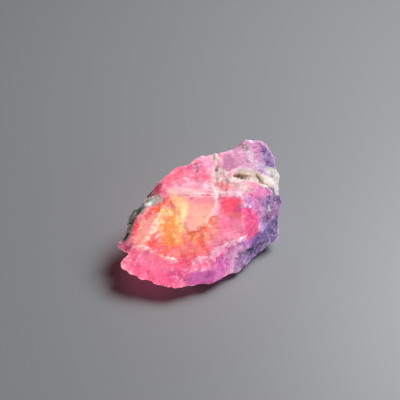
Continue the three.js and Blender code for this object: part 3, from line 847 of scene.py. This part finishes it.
def add(kind, links=None, **settings):
    """A node with its settings, and its live inputs linked or set, by name or by order."""
    node = tree.nodes.new(kind)
    for key, value in settings.items():
        setattr(node, key, value)
    live = [socket for socket in node.inputs if socket.enabled]
    for key, value in (links or {}).items():
        socket = live[key] if isinstance(key, int) else next(s for s in live if s.name == key)
        if isinstance(value, bpy.types.NodeSocket):
            tree.links.new(value, socket)
        else:
            socket.default_value = value
    return node


# Milky clouds are 2 to 3 mm across, dark flecks half a millimetre and sugar a little less, much
# as they are in the hand.
spot = add("ShaderNodeTexCoord").outputs["Object"]
clouds = add("ShaderNodeTexNoise", {
    "Vector": spot, "Scale": CLOUDS_PER_MM / MM, "Detail": 6.0, "Roughness": 0.6}).outputs[0]
flecks = add("ShaderNodeTexNoise", {
    "Vector": spot, "Scale": FLECKS_PER_MM / MM, "Detail": 3.0, "Roughness": 0.7}).outputs[0]
fine_grains = add("ShaderNodeTexNoise", {
    "Vector": spot, "Scale": SUGAR_PER_MM / MM, "Detail": 2.0}).outputs[0]
painted = add("ShaderNodeAttribute", attribute_name="paint").outputs["Color"]
painted_glowing = add("ShaderNodeAttribute", attribute_name="painted_glow").outputs["Fac"]
glassy = add("ShaderNodeAttribute", attribute_name="skin").outputs["Fac"]
sugar_and_glint_amount = add("ShaderNodeAttribute", attribute_name="sugar_and_glints").outputs["Fac"]

# Healed cracks, about 3 mm apart, show as hair-thin white lines where the stone is cloudy. They
# are drawn about 0.1 mm wide, several times their real width, so that they show.
wander = add("ShaderNodeTexNoise", {
    "Vector": spot, "Scale": WANDERS_PER_MM / MM, "Detail": 3.0}).outputs[1]
shift = add("ShaderNodeVectorMath", {0: wander, "Scale": WANDER_MM * MM}, operation="SCALE").outputs[0]
cracked = add("ShaderNodeVectorMath", {0: spot, 1: shift}, operation="ADD").outputs[0]
gap = add("ShaderNodeTexVoronoi", {
    "Vector": cracked, "Scale": CRACKS_PER_MM / MM}, feature="DISTANCE_TO_EDGE").outputs[0]
hairline = add("ShaderNodeMath", {0: gap, 1: -26.0, 2: 1.0}, **STRETCHED).outputs[0]
in_cloud = add("ShaderNodeMath", {0: clouds, 1: 5.0, 2: -2.3}, **STRETCHED).outputs[0]
crack = add("ShaderNodeMath", {0: hairline, 1: in_cloud}, operation="MULTIPLY").outputs[0]
healed = add("ShaderNodeMath", {0: crack, 1: 0.1}, operation="MULTIPLY").outputs[0]

# The colour as painted, clouded with milk, flecked darker, crossed by the cracks and sugared with white
# specks, which are partly sugary grain and partly painted glints. A
# Mix gives its colour from its third output.
milk = (*WHITE, 1)
cloudy = add("ShaderNodeMath", {0: clouds, 1: 0.6, 2: -0.33}, **STRETCHED).outputs[0]
clouded = add("ShaderNodeMix", {"Factor": cloudy, "A": painted, "B": milk}, data_type="RGBA").outputs[2]
fleck = add("ShaderNodeMath", {0: flecks, 1: -2.0, 2: 0.8}, **STRETCHED).outputs[0]
deeper = add("ShaderNodeHueSaturation", {"Color": clouded, "Saturation": 1.3, "Value": 0.7}).outputs[0]
flecked = add("ShaderNodeMix", {"Factor": fleck, "A": clouded, "B": deeper}, data_type="RGBA").outputs[2]
crossed = add("ShaderNodeMix", {"Factor": healed, "A": flecked, "B": milk}, data_type="RGBA").outputs[2]
bright = add("ShaderNodeMath", {0: fine_grains, 1: 7.0, 2: -3.95}, **STRETCHED).outputs[0]
painted_glints = add("ShaderNodeMath", {0: bright, 1: sugar_and_glint_amount}, operation="MULTIPLY").outputs[0]
sugared_and_glinting = add("ShaderNodeMix", {"Factor": painted_glints, "A": crossed, "B": milk}, data_type="RGBA").outputs[2]

# The flecks also roughen and pit the surface, and the skin is glossier than the rest.
# The painted glow's emission strength.
lit = add("ShaderNodeMath", {0: painted_glowing, 1: PAINTED_GLOW_STRENGTH}, operation="MULTIPLY").outputs[0]
dull = add("ShaderNodeMath", {0: flecks, 1: 0.7, 2: 0.08}, **STRETCHED).outputs[0]
lustre = add("ShaderNodeMath", {0: glassy, 1: -0.25, 2: dull}, **STRETCHED).outputs[0]
bump = add("ShaderNodeBump", {"Height": flecks, "Strength": 0.5, "Distance": BUMP_MM * MM}).outputs[0]
tree.links.new(sugared_and_glinting, shader.inputs["Base Color"])
tree.links.new(sugared_and_glinting, shader.inputs["Emission Color"])
tree.links.new(lit, shader.inputs["Emission Strength"])
tree.links.new(lustre, shader.inputs["Roughness"])
tree.links.new(bump, shader.inputs["Normal"])
shader.inputs["IOR"].default_value = HACKMANITE_IOR
shader.inputs["Subsurface Weight"].default_value = 0.2
shader.inputs["Subsurface Radius"].default_value = (1.0, 0.45, 0.4)
shader.inputs["Subsurface Scale"].default_value = SCATTER_MM * MM
fine.materials.clear()
fine.materials.append(material)
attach(stone, "root")
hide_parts("crystal")

# ---- Floor, light and camera ----
# A plain matt laminate top, with a broad dull sheen. A softbox stands above the right-hand side
# and a little behind, a soft sun shines from there too, and a faint fill is low at the right front.
LAMINATE_GREY = linear("#97999c")
STUDIO_WHITE = linear("#dfe1e4")
FLOOR_REACH_M = 3
ELEVATION = np.radians(50)
DISTANCE_MM = 182.8
AIM_MM = [-0.65, 3.87, 0.87]
floor_mesh = bpy.data.meshes.new("floor")
floor_signs = [(-1, -1), (1, -1), (1, 1), (-1, 1)]
floor_corners = [(FLOOR_REACH_M * x, FLOOR_REACH_M * y, 0) for x, y in floor_signs]
floor_mesh.from_pydata(floor_corners, [], [(0, 1, 2, 3)])
floor = bpy.data.objects.new("floor", floor_mesh)
scene.collection.objects.link(floor)
floor_material = bpy.data.materials.new("matt laminate")
floor_material.use_nodes = True
floor_shader = floor_material.node_tree.nodes["Principled BSDF"]
floor_shader.inputs["Base Color"].default_value = (*LAMINATE_GREY, 1)
floor_shader.inputs["Roughness"].default_value = 0.45
floor_mesh.materials.append(floor_material)

world = bpy.data.worlds.new("studio")
world.use_nodes = True
backdrop = world.node_tree.nodes["Background"]
backdrop.inputs["Color"].default_value = (*STUDIO_WHITE, 1)
backdrop.inputs["Strength"].default_value = 0.012
scene.world = world


def soft_light(name, kind, location, power):
    """A lamp turned towards the stone from its place, in watts, or a sun in watts a square metre."""
    light = bpy.data.lights.new(name, kind)
    light.energy = power
    lamp = bpy.data.objects.new(name, light)
    lamp.location = location
    lamp.rotation_mode = "QUATERNION"
    lamp.rotation_quaternion = Vector(location).to_track_quat("Z", "Y")
    scene.collection.objects.link(lamp)
    return light


soft_light("softbox", "AREA", (0.125, 0.085, 0.205), 0.4).size = 0.13
soft_light("fill", "AREA", (0.18, -0.09, 0.09), 0.036).size = 0.12
soft_light("studio", "SUN", (0.3, 0.19, 0.42), 1.35).angle = np.radians(28)

# The camera looks at a point a little above and beyond the stone's middle.
stone_middle = (stone_low + stone_high) / 2
back = np.array([0, -np.cos(ELEVATION), np.sin(ELEVATION)])
camera = bpy.data.objects.new("camera", bpy.data.cameras.new("camera"))
camera.data.lens = 70
camera.data.clip_start = 0.01
camera.location = (stone_middle + AIM_MM + back * DISTANCE_MM) * MM
camera.rotation_mode = "QUATERNION"
camera.rotation_quaternion = Vector(back).to_track_quat("Z", "Y")
scene.collection.objects.link(camera)
scene.camera = camera
scene.view_settings.view_transform = "Standard"
